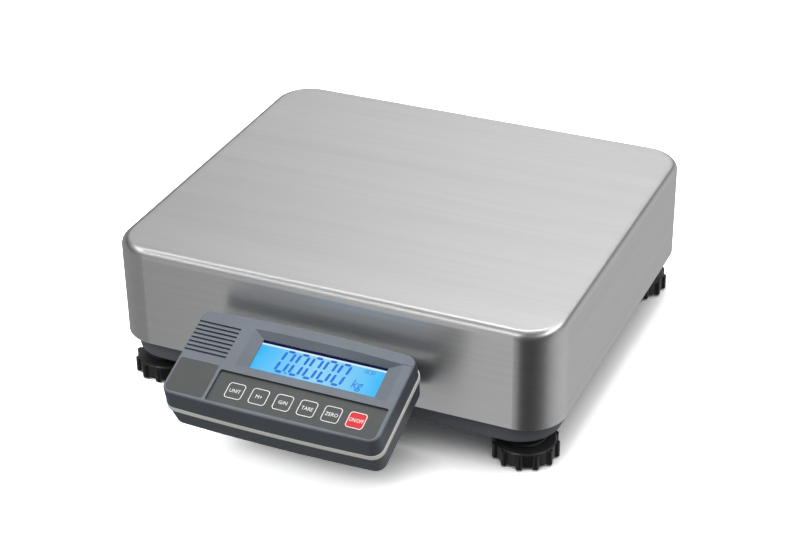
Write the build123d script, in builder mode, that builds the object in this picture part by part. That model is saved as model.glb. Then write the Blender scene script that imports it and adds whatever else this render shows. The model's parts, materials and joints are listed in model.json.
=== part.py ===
from build123d import *
import math
import os

os.makedirs("parts", exist_ok=True)

# A platform shipping scale in millimetres. Z is up from the floor, X runs along the front edge and
# -Y faces the person who reads the display. The origin is under the middle of the whole footprint,
# and the weighing platform's own centre lies pan_y behind it, because the display head stands out
# in front.

# ---- driving dimensions ----
pan_y = 42.71

# weighing pan: a pressed sheet-steel cap
pan_width = 350.0
pan_depth = 307.3
pan_top = 115.8
pan_side_height = 78.9
pan_corner_radius = 30.0
pan_edge_radius = 6.5
pan_sheet = 1.0

# base housing: a shallow cast tray, partly hidden by the pan's skirt
base_width = 338.0
base_depth = 300.0
base_bottom = 22.2
base_top = 46.0
base_corner_radius = 31.0
base_wall = 3.5
base_floor_top = 28.5

# levelling feet
foot_inset_x = 29.1
foot_inset_y = 26.8
foot_radius = 22.6
foot_lobe_radius = 2.6
foot_lobes = 12
foot_bottom = 1.6
foot_top = 13.6
foot_hub_radius = 15.0
foot_hub_top = 16.4
sole_radius = 18.0
sole_thickness = 3.4
stem_radius = 5.0
stem_top = 52.0
stem_clearance = 0.08

# load cell and the cross frame that it carries
cell_length = 150.0
cell_width = 40.0
cell_bottom = 36.0
cell_top = 74.0
cell_bolt_pitch = 25.0
cell_bolt_row = 20.0
cell_end_offset = 57.0
spider_bottom = 78.0
spider_plate_top = 86.0
arm_width = 20.0
arm_bottom = 84.0
arm_top = 106.0
arm_reach_x = 132.0
arm_reach_y = 108.0
arm_pad_radius = 16.0
buffer_radius = 9.0
buffer_top = 114.75
stop_gap = 0.65

# display head: a wedge-like slab, tilted towards the reader
head_tilt = 20.6
head_left = -84.6
head_right = 81.9
head_depth = 79.4
head_gap = 13.5
head_back_height = 91.2
head_bow_back = 2.8
head_bow_front = 1.6
head_corner_radius = 9.0
head_wall = 2.4
upper_depth = 14.5
strip_depth = 3.8
lower_depth = 19.0
flare_front = 2.4
flare_back = 1.0
flare_side = 0.5
lower_taper = 2.0
top_edge_radius = 1.6

# display window, key panel and label on the top of the head, measured from the middle of the
# head's width and down the slope from its back edge
window_left = -32.7
window_right = 63.8
window_back = -14.8
window_front = -40.5
bezel_left = -41.3
bezel_right = 74.4
bezel_back = -9.0
bezel_front = -44.4
bezel_drop = 3.4
window_level = -4.2
window_thickness = 2.0
panel_left = -49.8
panel_right = 79.0
panel_back = -49.2
panel_front = -76.6
panel_outer_radius = 5.0
panel_level = -1.6
overlay_thickness = 1.2
circuit_thickness = 0.6
label_left = -82.5
label_right = -51.9
label_back = -46.8
label_front = -76.2
label_recess = 0.6
label_thickness = 0.5
key_first = -32.2
key_pitch = 18.5
key_row = -63.3
key_width = 13.2
key_height = 13.4
key_radius = 2.4
key_gap = 0.15
key_travel = 0.4
key_names = ["unit", "memory", "gross_net", "tare", "zero", "on_off"]
groove_count = 8
groove_first = -13.6
groove_pitch = 3.65
groove_width = 1.7
groove_depth = 1.7
groove_end = -50.5

crease_start = -0.2
crease_width = 0.55
crease_depth = 0.35

head_width = head_right - head_left
head_middle = (head_left + head_right) / 2

# ---- frames of reference ----
pan_centre = (0, pan_y)
tilt = math.radians(head_tilt)
head_back_y = pan_y - pan_depth / 2 - head_gap
foot_x = pan_width / 2 - foot_inset_x
foot_y = pan_depth / 2 - foot_inset_y
foot_spots = {
    "front_left": (-foot_x, pan_y - foot_y),
    "front_right": (foot_x, pan_y - foot_y),
    "rear_left": (-foot_x, pan_y + foot_y),
    "rear_right": (foot_x, pan_y + foot_y),
}


def head_plane(level=0.0):
    # plane parallel to the head's top face; its y axis climbs the slope, its origin is the middle
    # of the back edge
    return Plane(
        origin=(
            0,
            head_back_y - level * math.sin(tilt),
            head_back_height + level * math.cos(tilt),
        ),
        x_dir=(1, 0, 0),
        z_dir=(0, -math.sin(tilt), math.cos(tilt)),
    )


def head_point(across, along, level):
    # a point given across the head, along its slope and above its top face, in the object's frame
    return (
        across,
        head_back_y + along * math.cos(tilt) - level * math.sin(tilt),
        head_back_height + along * math.sin(tilt) + level * math.cos(tilt),
    )


def level_plane(height):
    return Plane.XY.offset(height)


def finish_part(builder, name):
    builder.part.label = name
    export_step(builder.part, f"parts/{name}.step")


def turned_group(name, plane_at, spots, steps, socket=None):
    # one turned piece at each spot: steps are (from, to, radius) along the normal of plane_at, and
    # socket is (from, to, radius) of a hexagon drive cut into the head
    with BuildPart() as group:
        for start, end, radius in steps:
            with BuildSketch(plane_at(start)):
                with Locations(*spots):
                    Circle(radius)
            extrude(amount=end - start)
        if socket:
            start, end, radius = socket
            with BuildSketch(plane_at(start)):
                with Locations(*spots):
                    RegularPolygon(radius, 6)
            extrude(amount=end - start, mode=Mode.SUBTRACT)
    finish_part(group, name)


def head_outline(grow_side, grow_back, grow_front, corner):
    # the head's plan: straight sides, bowed back and front edges, rounded corners
    left = head_left - grow_side
    right = head_right + grow_side
    back = -head_bow_back + grow_back
    front = -head_depth - grow_front + head_bow_front
    with BuildSketch() as outline:
        with BuildLine():
            Line((left, back), (left, front))
            ThreePointArc((left, front), (head_middle, front - head_bow_front), (right, front))
            Line((right, front), (right, back))
            ThreePointArc((right, back), (head_middle, back + head_bow_back), (left, back))
        make_face()
        fillet(outline.vertices(), corner)
    return outline.sketch


def span(left, right, back, front):
    # centre and size of a rectangle given by its edges
    return ((left + right) / 2, (back + front) / 2), (right - left, back - front)


# ---- weighing pan ----
with BuildPart() as pan:
    with BuildSketch(Plane.XY.offset(pan_top - pan_side_height)):
        with Locations(pan_centre):
            RectangleRounded(pan_width, pan_depth, pan_corner_radius)
    extrude(amount=pan_side_height)
    fillet(pan.faces().sort_by(Axis.Z)[-1].edges(), pan_edge_radius)
    offset(amount=-pan_sheet, openings=pan.faces().sort_by(Axis.Z)[0])
finish_part(pan, "pan")

# ---- base housing ----
boss_radius = 14.0
boss_top = 44.0
nut_seat = 37.0
nut_radius = 9.8
fit_gap = 0.1
stop_radius = 3.0
stop_boss_radius = 9.0
stop_boss_top = 52.0
stop_along_arm = 0.78
bolt_radius = 2.95
bolt_hole = 3.3
bolt_head = 5.0
cell_pad_top = 32.0
battery_spot = (0.0, pan_y + 88.0)
battery_length = 100.0
battery_width = 46.0
battery_height = 38.0
hatch_ledge = 11.0
hatch_thickness = 2.0
bracket_width = 76.0
bracket_sheet = 2.5
bracket_bolt_reach = 112.0
gland_x = -48.0
gland_z = 31.2
gland_radius = 3.2
gland_nut_radius = 4.4
level_spot = (60.0, pan_y - 98.0)

stop_spots = [
    (side * stop_along_arm * arm_reach_x, pan_y + end * stop_along_arm * arm_reach_y)
    for side in (-1, 1)
    for end in (-1, 1)
]


def cell_bolt_spots(centre_x):
    return [
        (centre_x + step * cell_bolt_pitch / 2, pan_y + row * cell_bolt_row / 2)
        for step in (-1, 1)
        for row in (-1, 1)
    ]


lower_bolt_spots = cell_bolt_spots(-cell_end_offset)
upper_bolt_spots = cell_bolt_spots(cell_end_offset)
bracket_bolt_spots = [(side * 24.0, pan_y - bracket_bolt_reach) for side in (-1, 1)]
hatch_screw_spots = [
    (battery_spot[0] + side * (battery_length / 2 + 7), battery_spot[1] + end * 18)
    for side in (-1, 1)
    for end in (-1, 1)
]

with BuildPart() as base:
    with BuildSketch(level_plane(base_bottom)):
        with Locations(pan_centre):
            RectangleRounded(base_width, base_depth, base_corner_radius)
    extrude(amount=base_top - base_bottom)
    fillet(base.faces().sort_by(Axis.Z)[0].edges(), 2.5)
    with BuildSketch(level_plane(base_floor_top)):
        with Locations(pan_centre):
            RectangleRounded(
                base_width - 2 * base_wall,
                base_depth - 2 * base_wall,
                base_corner_radius - base_wall,
            )
    extrude(amount=base_top - base_floor_top, mode=Mode.SUBTRACT)
    # bosses for the feet, the overload stops and the load cell's fixed end
    with BuildSketch(level_plane(base_floor_top - 1)):
        with Locations(*foot_spots.values()):
            Circle(boss_radius)
    extrude(amount=boss_top - base_floor_top + 1)
    with BuildSketch(level_plane(base_floor_top - 1)):
        with Locations(*stop_spots):
            Circle(stop_boss_radius)
    extrude(amount=stop_boss_top - base_floor_top + 1)
    with BuildSketch(level_plane(base_floor_top - 1)):
        with Locations((-cell_end_offset, pan_y)):
            Rectangle(cell_bolt_pitch + 26, cell_width + 14)
    extrude(amount=cell_pad_top - base_floor_top + 1)
    # stiffening ribs between the foot bosses
    with BuildSketch(level_plane(base_floor_top - 1)):
        with Locations((-foot_x, pan_y), (foot_x, pan_y)):
            Rectangle(4, 2 * foot_y - boss_radius)
        with Locations((0, pan_y - foot_y), (0, pan_y + foot_y)):
            Rectangle(2 * foot_x - boss_radius, 4)
    extrude(amount=9)
    # foot bores, each with a hexagon seat for its threaded insert
    with BuildSketch(level_plane(base_bottom - 1)):
        with Locations(*foot_spots.values()):
            Circle(stem_radius + 0.6)
    extrude(amount=boss_top - base_bottom + 2, mode=Mode.SUBTRACT)
    with BuildSketch(level_plane(nut_seat)):
        with Locations(*foot_spots.values()):
            RegularPolygon(nut_radius, 6)
    extrude(amount=boss_top - nut_seat + 1, mode=Mode.SUBTRACT)
    # screw holes: overload stops, load cell bolts with sunk heads, bracket bolts
    with BuildSketch(level_plane(base_floor_top)):
        with Locations(*stop_spots):
            Circle(stop_radius + fit_gap)
    extrude(amount=stop_boss_top - base_floor_top + 1, mode=Mode.SUBTRACT)
    with BuildSketch(level_plane(base_bottom - 1)):
        with Locations(*lower_bolt_spots):
            Circle(bolt_hole)
        with Locations(*bracket_bolt_spots):
            Circle(2.7)
    extrude(amount=cell_pad_top - base_bottom + 2, mode=Mode.SUBTRACT)
    with BuildSketch(level_plane(base_bottom - 1)):
        with Locations(*lower_bolt_spots):
            Circle(bolt_head + 0.6)
    extrude(amount=4.4, mode=Mode.SUBTRACT)
    # battery hatch: an opening with a ledge around it for the cover
    with BuildSketch(level_plane(base_bottom - 1)):
        with Locations(battery_spot):
            Rectangle(battery_length + 2, battery_width + 2)
    extrude(amount=base_floor_top - base_bottom + 2, mode=Mode.SUBTRACT)
    with BuildSketch(level_plane(base_bottom - 1)):
        with Locations(battery_spot):
            RectangleRounded(battery_length + 2 * hatch_ledge, battery_width + 10, 4)
    extrude(amount=hatch_thickness + 1, mode=Mode.SUBTRACT)
    with BuildSketch(level_plane(base_bottom)):
        with Locations(*hatch_screw_spots):
            Circle(1.6)
    extrude(amount=base_floor_top - base_bottom + 1, mode=Mode.SUBTRACT)
    # cable gland hole through the front wall
    with Locations(Location((gland_x, pan_y - base_depth / 2, gland_z), (90, 0, 0))):
        Cylinder(gland_radius + fit_gap, 12, mode=Mode.SUBTRACT)
finish_part(base, "base_housing")

with BuildPart() as foot_nuts:
    with BuildSketch(level_plane(nut_seat)):
        with Locations(*foot_spots.values()):
            RegularPolygon(nut_radius - fit_gap, 6)
            Circle(stem_radius + stem_clearance, mode=Mode.SUBTRACT)
    extrude(amount=boss_top - nut_seat)
finish_part(foot_nuts, "foot_nuts")

# overload stops: studs in the base bosses, set just under the arms of the cross frame
stop_top = arm_bottom - stop_gap
turned_group(
    "overload_stops",
    level_plane,
    stop_spots,
    [(base_floor_top + 1, stop_top, stop_radius)],
    socket=(stop_top - 3, stop_top + 1, 1.7),
)
with BuildPart() as stop_nuts:
    with BuildSketch(level_plane(stop_boss_top)):
        with Locations(*stop_spots):
            RegularPolygon(5.8, 6)
            Circle(stop_radius + fit_gap, mode=Mode.SUBTRACT)
    extrude(amount=5)
finish_part(stop_nuts, "stop_locknuts")

# ---- load cell: a bending beam with a binocular hole, fixed at its left end ----
cell_centre = Location((0, pan_y, (cell_bottom + cell_top) / 2))
with BuildPart() as cell:
    with Locations(cell_centre):
        Box(cell_length, cell_width, cell_top - cell_bottom)
    with Locations(cell_centre):
        with Locations(Location((-14, 0, 0), (90, 0, 0)), Location((14, 0, 0), (90, 0, 0))):
            Cylinder(12.5, cell_width + 2, mode=Mode.SUBTRACT)
        Box(28, cell_width + 2, 8, mode=Mode.SUBTRACT)
    with BuildSketch(level_plane(cell_bottom)):
        with Locations(*lower_bolt_spots):
            Circle(stop_radius)
    extrude(amount=20, mode=Mode.SUBTRACT)
    with BuildSketch(level_plane(cell_top)):
        with Locations(*upper_bolt_spots):
            Circle(stop_radius)
    extrude(amount=-20, mode=Mode.SUBTRACT)
    chamfer(cell.faces().sort_by(Axis.X)[0].edges(), 1)
    chamfer(cell.faces().sort_by(Axis.X)[-1].edges(), 1)
finish_part(cell, "load_cell")


def cell_spacer(name, centre_x, start, end, spots):
    with BuildPart() as spacer:
        with BuildSketch(level_plane(start)):
            with Locations((centre_x, pan_y)):
                RectangleRounded(cell_bolt_pitch + 17, cell_width, 2)
            with Locations(*spots):
                Circle(bolt_hole, mode=Mode.SUBTRACT)
        extrude(amount=end - start)
    finish_part(spacer, name)


cell_spacer("cell_spacer_lower", -cell_end_offset, cell_pad_top, cell_bottom, lower_bolt_spots)
cell_spacer("cell_spacer_upper", cell_end_offset, cell_top, spider_bottom, upper_bolt_spots)
lower_head_top = base_bottom + 3.4
turned_group(
    "cell_bolts_lower",
    level_plane,
    lower_bolt_spots,
    [(lower_head_top - 3.2, lower_head_top, bolt_head), (lower_head_top, cell_bottom + 18, bolt_radius)],
    socket=(lower_head_top - 3.3, lower_head_top - 1, 2.6),
)
turned_group(
    "cell_bolts_upper",
    level_plane,
    upper_bolt_spots,
    [(cell_top - 18, spider_plate_top, bolt_radius), (spider_plate_top, spider_plate_top + 6, bolt_head)],
    socket=(spider_plate_top + 3, spider_plate_top + 7, 2.6),
)

# ---- cross frame that carries the pan ----
arm_spots = [(side * arm_reach_x, pan_y + end * arm_reach_y) for side in (-1, 1) for end in (-1, 1)]
arm_length = 2 * math.hypot(arm_reach_x, arm_reach_y)
arm_angle = math.degrees(math.atan2(arm_reach_y, arm_reach_x))
with BuildPart() as spider:
    with BuildSketch(level_plane(spider_bottom)):
        with Locations(pan_centre):
            RectangleRounded(164, 58, 8)
    extrude(amount=spider_plate_top - spider_bottom)
    with BuildSketch(level_plane(arm_bottom)):
        for turn in (arm_angle, -arm_angle):
            with Locations(Location((0, pan_y, 0), turn)):
                Rectangle(arm_length, arm_width)
        with Locations(*arm_spots):
            Circle(arm_pad_radius)
    extrude(amount=arm_top - arm_bottom)
    # the arms are channels, open at the top between the hub and the pads
    with BuildSketch(level_plane(arm_bottom + 5)):
        for turn in (arm_angle, -arm_angle):
            with Locations(Location((0, pan_y, 0), turn)):
                with Locations((-arm_length / 4 - 6, 0), (arm_length / 4 + 6, 0)):
                    SlotOverall(arm_length / 2 - 60, arm_width - 8)
    extrude(amount=arm_top - arm_bottom, mode=Mode.SUBTRACT)
    with BuildSketch(level_plane(arm_bottom + 10)):
        with Locations(*arm_spots):
            Circle(5.2)
    extrude(amount=arm_top - arm_bottom, mode=Mode.SUBTRACT)
    with BuildSketch(level_plane(spider_bottom - 1)):
        with Locations(*upper_bolt_spots):
            Circle(bolt_hole)
    extrude(amount=spider_plate_top - spider_bottom + 2, mode=Mode.SUBTRACT)
finish_part(spider, "cross_frame")
turned_group(
    "pan_buffers",
    level_plane,
    arm_spots,
    [(arm_bottom + 10.2, arm_top, 5.0), (arm_top, buffer_top, buffer_radius)],
)

# ---- levelling feet: a rubber sole that stands still, and a knurled wheel that turns with its stem ----
pivot_radius = 4.0
pivot_top = 5.6
for place, spot in foot_spots.items():
    turned_group(
        f"foot_sole_{place}",
        level_plane,
        [spot],
        [(0, sole_thickness, sole_radius), (sole_thickness, pivot_top, pivot_radius)],
    )
    with BuildPart() as wheel:
        with BuildSketch(level_plane(foot_bottom + 1)):
            with Locations(spot):
                Circle(foot_radius)
        extrude(amount=foot_top - foot_bottom - 1)
        chamfer(wheel.faces().sort_by(Axis.Z)[-1].edges(), 1)
        with BuildSketch(level_plane(foot_bottom)):
            with Locations(spot):
                with PolarLocations(foot_radius - 0.2, foot_lobes, start_angle=9.2):
                    Circle(foot_lobe_radius)
        extrude(amount=foot_top - foot_bottom - 0.8)
        with BuildSketch(level_plane(foot_bottom)):
            with Locations(spot):
                Circle(foot_radius - 1.4)
        extrude(amount=2)
        with BuildSketch(level_plane(foot_top - 1)):
            with Locations(spot):
                Circle(foot_hub_radius)
        extrude(amount=foot_hub_top - foot_top + 1)
        chamfer(wheel.faces().sort_by(Axis.Z)[-1].edges(), 0.8)
        # seat for the sole, its pivot and the stem
        for start, end, radius in (
            (0, sole_thickness + 0.3, sole_radius + 0.4),
            (0, pivot_top + 0.3, pivot_radius + 0.08),
            (pivot_top, foot_hub_top + 1, stem_radius + 0.02),
        ):
            with BuildSketch(level_plane(start)):
                with Locations(spot):
                    Circle(radius)
            extrude(amount=end - start, mode=Mode.SUBTRACT)
    finish_part(wheel, f"foot_wheel_{place}")
    turned_group(
        f"foot_stem_{place}",
        level_plane,
        [spot],
        [(pivot_top + 0.6, stem_top, stem_radius)],
    )

# ---- bubble level, battery and its hatch ----
with BuildPart() as level_housing:
    with BuildSketch(level_plane(base_floor_top)):
        with Locations(level_spot):
            Circle(13)
    extrude(amount=8)
    fillet(level_housing.faces().sort_by(Axis.Z)[-1].edges(), 1)
    with BuildSketch(level_plane(base_floor_top + 2)):
        with Locations(level_spot):
            Circle(9.1)
    extrude(amount=8, mode=Mode.SUBTRACT)
finish_part(level_housing, "level_housing")
turned_group("level_vial", level_plane, [level_spot], [(base_floor_top + 2, base_floor_top + 8.4, 9.0)])

hatch_top = base_bottom + hatch_thickness
with BuildPart() as battery:
    with BuildSketch(level_plane(hatch_top + fit_gap)):
        with Locations(battery_spot):
            RectangleRounded(battery_length, battery_width, 3)
    extrude(amount=battery_height)
    for side in (-1, 1):
        with BuildSketch(level_plane(hatch_top + battery_height)):
            with Locations((battery_spot[0] + side * 36, battery_spot[1] + 14)):
                Rectangle(6, 1)
        extrude(amount=5)
finish_part(battery, "battery")
with BuildPart() as hatch:
    with BuildSketch(level_plane(base_bottom)):
        with Locations(battery_spot):
            RectangleRounded(battery_length + 2 * hatch_ledge - 0.6, battery_width + 9.4, 3.7)
        with Locations(*hatch_screw_spots):
            Circle(1.6, mode=Mode.SUBTRACT)
    extrude(amount=hatch_thickness)
    with BuildSketch(level_plane(base_bottom)):
        with Locations(*hatch_screw_spots):
            Circle(3.1)
    extrude(amount=1.2, mode=Mode.SUBTRACT)
finish_part(hatch, "battery_hatch")
turned_group(
    "hatch_screws",
    level_plane,
    hatch_screw_spots,
    [(base_bottom + 0.1, base_bottom + 1.2, 3.0), (base_bottom + 1.2, base_floor_top + 2, 1.5)],
)

# ---- bracket that carries the head, bent from one strip of sheet ----
bracket_rear = pan_y - bracket_bolt_reach + 12
bracket_bend = pan_y - base_depth / 2 - 12
underside = -upper_depth - strip_depth - lower_depth
plate_middle = underside - bracket_sheet / 2 - 0.02
slope_start = head_point(0, -12, plate_middle)
slope_end = head_point(0, -60, plate_middle)
foot_middle = base_bottom - bracket_sheet / 2 - 0.02
head_bolt_spots = [(side * 24.0, along) for side in (-1, 1) for along in (-24.0, -50.0)]
with BuildPart() as bracket:
    with BuildSketch(Plane.YZ):
        with BuildLine():
            FilletPolyline(
                (bracket_rear, foot_middle),
                (bracket_bend, foot_middle),
                (slope_start[1], slope_start[2]),
                (slope_end[1], slope_end[2]),
                radius=4,
            )
        trace(line_width=bracket_sheet)
    extrude(amount=bracket_width / 2, both=True)
    with BuildSketch(level_plane(base_bottom - 5)):
        with Locations(*bracket_bolt_spots):
            Circle(2.7)
    extrude(amount=6, mode=Mode.SUBTRACT)
    with BuildSketch(head_plane(underside - 5)):
        with Locations(*head_bolt_spots):
            Circle(2.2)
    extrude(amount=6, mode=Mode.SUBTRACT)
finish_part(bracket, "head_bracket")
bracket_underside = base_bottom - bracket_sheet - 0.05
turned_group(
    "bracket_bolts",
    level_plane,
    bracket_bolt_spots,
    [(bracket_underside - 3, bracket_underside, 4.5), (bracket_underside, base_floor_top + 8, 2.5)],
    socket=(bracket_underside - 4, bracket_underside - 1, 2.2),
)
with BuildPart() as bracket_nuts:
    with BuildSketch(level_plane(base_floor_top)):
        with Locations(*bracket_bolt_spots):
            RegularPolygon(4.9, 6)
            Circle(2.55, mode=Mode.SUBTRACT)
    extrude(amount=4.5)
finish_part(bracket_nuts, "bracket_nuts")
plate_underside = underside - bracket_sheet - 0.05
turned_group(
    "bracket_head_screws",
    head_plane,
    head_bolt_spots,
    [(plate_underside - 2.4, plate_underside, 3.8), (plate_underside, underside + 7.5, 1.95)],
    socket=(plate_underside - 3, plate_underside - 1, 1.7),
)

# ---- display head: lower shell ----
split_level = -upper_depth
strip_level = -upper_depth - strip_depth
board_level = -14.0
board_thickness = 1.6
board_half_width = 66.5
board_back = -5.0
board_front = -70.0
shell_screw_spots = [
    (head_middle + side * 73.6, along) for side in (-1, 1) for along in (-12.0, -67.5)
]
board_screw_spots = [(side * 62.0, along) for side in (-1, 1) for along in (-8.5, -66.0)]
jack_along = -40.0
jack_level = -24.0
jack_radius = 4.0
jack_bore = 2.8
jack_depth = 9.0
floor_level = underside + head_wall


def flared_outline(inset):
    # the head's widest outline, where the two shells meet the trim strip
    return head_outline(
        flare_side - inset, flare_back - inset, flare_front - inset, head_corner_radius - inset / 2
    )


with BuildPart() as lower_shell:
    with BuildSketch(head_plane(strip_level)):
        add(flared_outline(0.4))
    with BuildSketch(head_plane(underside)):
        add(flared_outline(0.4 + lower_taper))
    loft()
    fillet(lower_shell.faces().filter_by(head_plane(0)).sort_by(Axis.Z)[0].edges(), 3.2)
    with BuildSketch(head_plane(strip_level)):
        add(flared_outline(0.4 + head_wall))
    with BuildSketch(head_plane(floor_level)):
        add(flared_outline(0.4 + head_wall + lower_taper))
    loft(mode=Mode.SUBTRACT)
    # bosses: shell screws at the corners, board posts, bracket screws
    for spots, radius, top in (
        (shell_screw_spots, 3.6, strip_level),
        (board_screw_spots, 3.2, board_level - board_thickness),
        (head_bolt_spots, 4.4, underside + 8.5),
    ):
        with BuildSketch(head_plane(floor_level - 0.5)):
            with Locations(*spots):
                Circle(radius)
        extrude(amount=top - floor_level + 0.5)
    for spots, radius, start, end in (
        (shell_screw_spots, 1.6, underside, strip_level),
        (shell_screw_spots, 3.1, underside, underside + 3),
        (board_screw_spots, 1.25, floor_level + 1, board_level - board_thickness),
        (head_bolt_spots, 2.0, underside, underside + 8),
    ):
        with BuildSketch(head_plane(start - 0.01)):
            with Locations(*spots):
                Circle(radius)
        extrude(amount=end - start + 0.02, mode=Mode.SUBTRACT)
    # openings for the power inlet on the left side and for the gland underneath
    with Locations(Location(head_point(head_left, jack_along, jack_level), (0, 90, 0))):
        Cylinder(jack_radius + fit_gap, 14, mode=Mode.SUBTRACT)
    with BuildSketch(head_plane(underside - 1)):
        with Locations((gland_x, -13)):
            Circle(gland_radius + fit_gap)
    extrude(amount=head_wall + 2, mode=Mode.SUBTRACT)
finish_part(lower_shell, "head_lower_shell")

# ---- display head: trim strip between the shells ----
with BuildPart() as strip:
    with BuildSketch(head_plane(strip_level)):
        add(flared_outline(-0.2))
    extrude(amount=strip_depth)
    with BuildSketch(head_plane(strip_level)):
        add(flared_outline(head_wall + 0.4))
    extrude(amount=strip_depth, mode=Mode.SUBTRACT)
finish_part(strip, "head_trim_strip")

# ---- display head: upper shell ----
circuit_level = panel_level - overlay_thickness - circuit_thickness
window_centre, window_size = span(window_left, window_right, window_back, window_front)
panel_centre, panel_size = span(panel_left, panel_right, panel_back, panel_front)
label_centre, label_size = span(label_left, label_right, label_back, label_front)
window_margin = 2.5
window_bottom = window_level - window_thickness
key_spots = [(key_first + step * key_pitch, key_row) for step in range(len(key_names))]


def bezel_back_at(across):
    # the bezel's rear edge follows the bow of the head's own rear edge
    return bezel_back - head_bow_back * (2 * (across - head_middle) / head_width) ** 2


def ground_outline(centre, size, inset, corner, outer_side):
    # a rectangle with one larger corner: the front corner next to the head's own side
    with BuildSketch() as outline:
        with Locations(centre):
            Rectangle(size[0] - 2 * inset, size[1] - 2 * inset)
        front_corners = outline.vertices().group_by(Axis.Y)[0].sort_by(Axis.X)
        outer = front_corners[-1] if outer_side > 0 else front_corners[0]
        fillet(outer, panel_outer_radius - inset)
        square = [v for v in outline.vertices() if abs(v.Y - centre[1]) > size[1] / 2 - inset - 0.01]
        square = [v for v in square if abs(v.X - centre[0]) > size[0] / 2 - inset - 0.01]
        fillet(square, corner - inset)
    return outline.sketch


def crease_outline():
    # a fine crease that runs on from the bezel's rear corner to the head's right side
    start, end = bezel_right - 1.5, head_right + 4
    with BuildSketch() as outline:
        with BuildLine():
            for offset_back in (crease_start, crease_start + crease_width):
                ThreePointArc(
                    (start, bezel_back_at(start) + offset_back),
                    ((start + end) / 2, bezel_back_at((start + end) / 2) + offset_back),
                    (end, bezel_back_at(end) + offset_back),
                )
            for across in (start, end):
                rear = bezel_back_at(across) + crease_start
                Line((across, rear), (across, rear + crease_width))
        make_face()
    return outline.sketch


def bezel_outline():
    middle = (bezel_left + bezel_right) / 2
    with BuildSketch() as outline:
        with BuildLine():
            Line((bezel_left, bezel_back_at(bezel_left)), (bezel_left, bezel_front))
            Line((bezel_left, bezel_front), (bezel_right, bezel_front))
            Line((bezel_right, bezel_front), (bezel_right, bezel_back_at(bezel_right)))
            ThreePointArc(
                (bezel_right, bezel_back_at(bezel_right)),
                (middle, bezel_back_at(middle)),
                (bezel_left, bezel_back_at(bezel_left)),
            )
        make_face()
    return outline.sketch


with BuildPart() as upper_shell:
    with BuildSketch(head_plane(split_level)):
        add(flared_outline(0.2))
    with BuildSketch(head_plane(0)):
        add(head_outline(0, 0, 0, head_corner_radius - 1))
    loft()
    fillet(upper_shell.faces().filter_by(head_plane(0)).sort_by(Axis.Z)[-1].edges(), top_edge_radius)
    with BuildSketch(head_plane(split_level)):
        add(flared_outline(0.2 + head_wall))
    with BuildSketch(head_plane(-head_wall)):
        add(head_outline(-head_wall, -head_wall, -head_wall, head_corner_radius - 2))
    loft(mode=Mode.SUBTRACT)
    # thicker ground behind the display window and the key panel
    with BuildSketch(head_plane(window_bottom)):
        with Locations(window_centre):
            Rectangle(window_size[0] + 24, window_size[1] + 13)
    extrude(amount=-window_bottom - 1)
    with BuildSketch(head_plane(circuit_level - 2)):
        with Locations(panel_centre):
            Rectangle(panel_size[0] + 3, panel_size[1] + 3)
        add(head_outline(-1, -1, -1, head_corner_radius - 2), mode=Mode.INTERSECT)
    extrude(amount=-circuit_level + 1)
    # screw posts at the corners
    with BuildSketch(head_plane(strip_level + 0.05)):
        with Locations(*shell_screw_spots):
            Circle(3.4)
    extrude(amount=-strip_level - 2)
    with BuildSketch(head_plane(strip_level)):
        with Locations(*shell_screw_spots):
            Circle(1.3)
    extrude(amount=12, mode=Mode.SUBTRACT)
    # bezel: four facets that fall to the window opening
    with BuildSketch(head_plane(0)):
        add(bezel_outline())
    with BuildSketch(head_plane(-bezel_drop)):
        with Locations(window_centre):
            Rectangle(*window_size)
    loft(mode=Mode.SUBTRACT)
    with BuildSketch(head_plane(window_bottom)):
        with Locations(window_centre):
            Rectangle(*window_size)
    extrude(amount=-window_bottom - bezel_drop + 0.01, mode=Mode.SUBTRACT)
    with BuildSketch(head_plane(window_bottom)):
        with Locations(window_centre):
            Rectangle(window_size[0] + 2 * window_margin, window_size[1] + 2 * window_margin)
    extrude(amount=window_thickness, mode=Mode.SUBTRACT)
    # sunk grounds for the key panel and the label
    with BuildSketch(head_plane(circuit_level)):
        add(ground_outline(panel_centre, panel_size, 0, 1.6, 1))
    extrude(amount=-circuit_level + 1, mode=Mode.SUBTRACT)
    with BuildSketch(head_plane(-label_recess)):
        add(ground_outline(label_centre, label_size, 0, 1.8, -1))
    extrude(amount=label_recess + 1, mode=Mode.SUBTRACT)
    with BuildSketch(head_plane(-crease_depth)):
        add(crease_outline())
    extrude(amount=crease_depth + 1, mode=Mode.SUBTRACT)
    # grip grooves that run off the left edge
    with BuildSketch(head_plane(-groove_depth)):
        for step in range(groove_count):
            with Locations(((groove_end + head_left - 6) / 2, groove_first - step * groove_pitch)):
                SlotOverall(groove_end - head_left + 6, groove_width)
    extrude(amount=groove_depth + 1, mode=Mode.SUBTRACT)
finish_part(upper_shell, "head_upper_shell")
turned_group(
    "shell_screws",
    head_plane,
    shell_screw_spots,
    [(underside + 0.6, underside + 2.9, 2.9), (underside + 2.9, strip_level + 11, 1.25)],
    socket=(underside + 0.5, underside + 1.8, 1.4),
)

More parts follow.
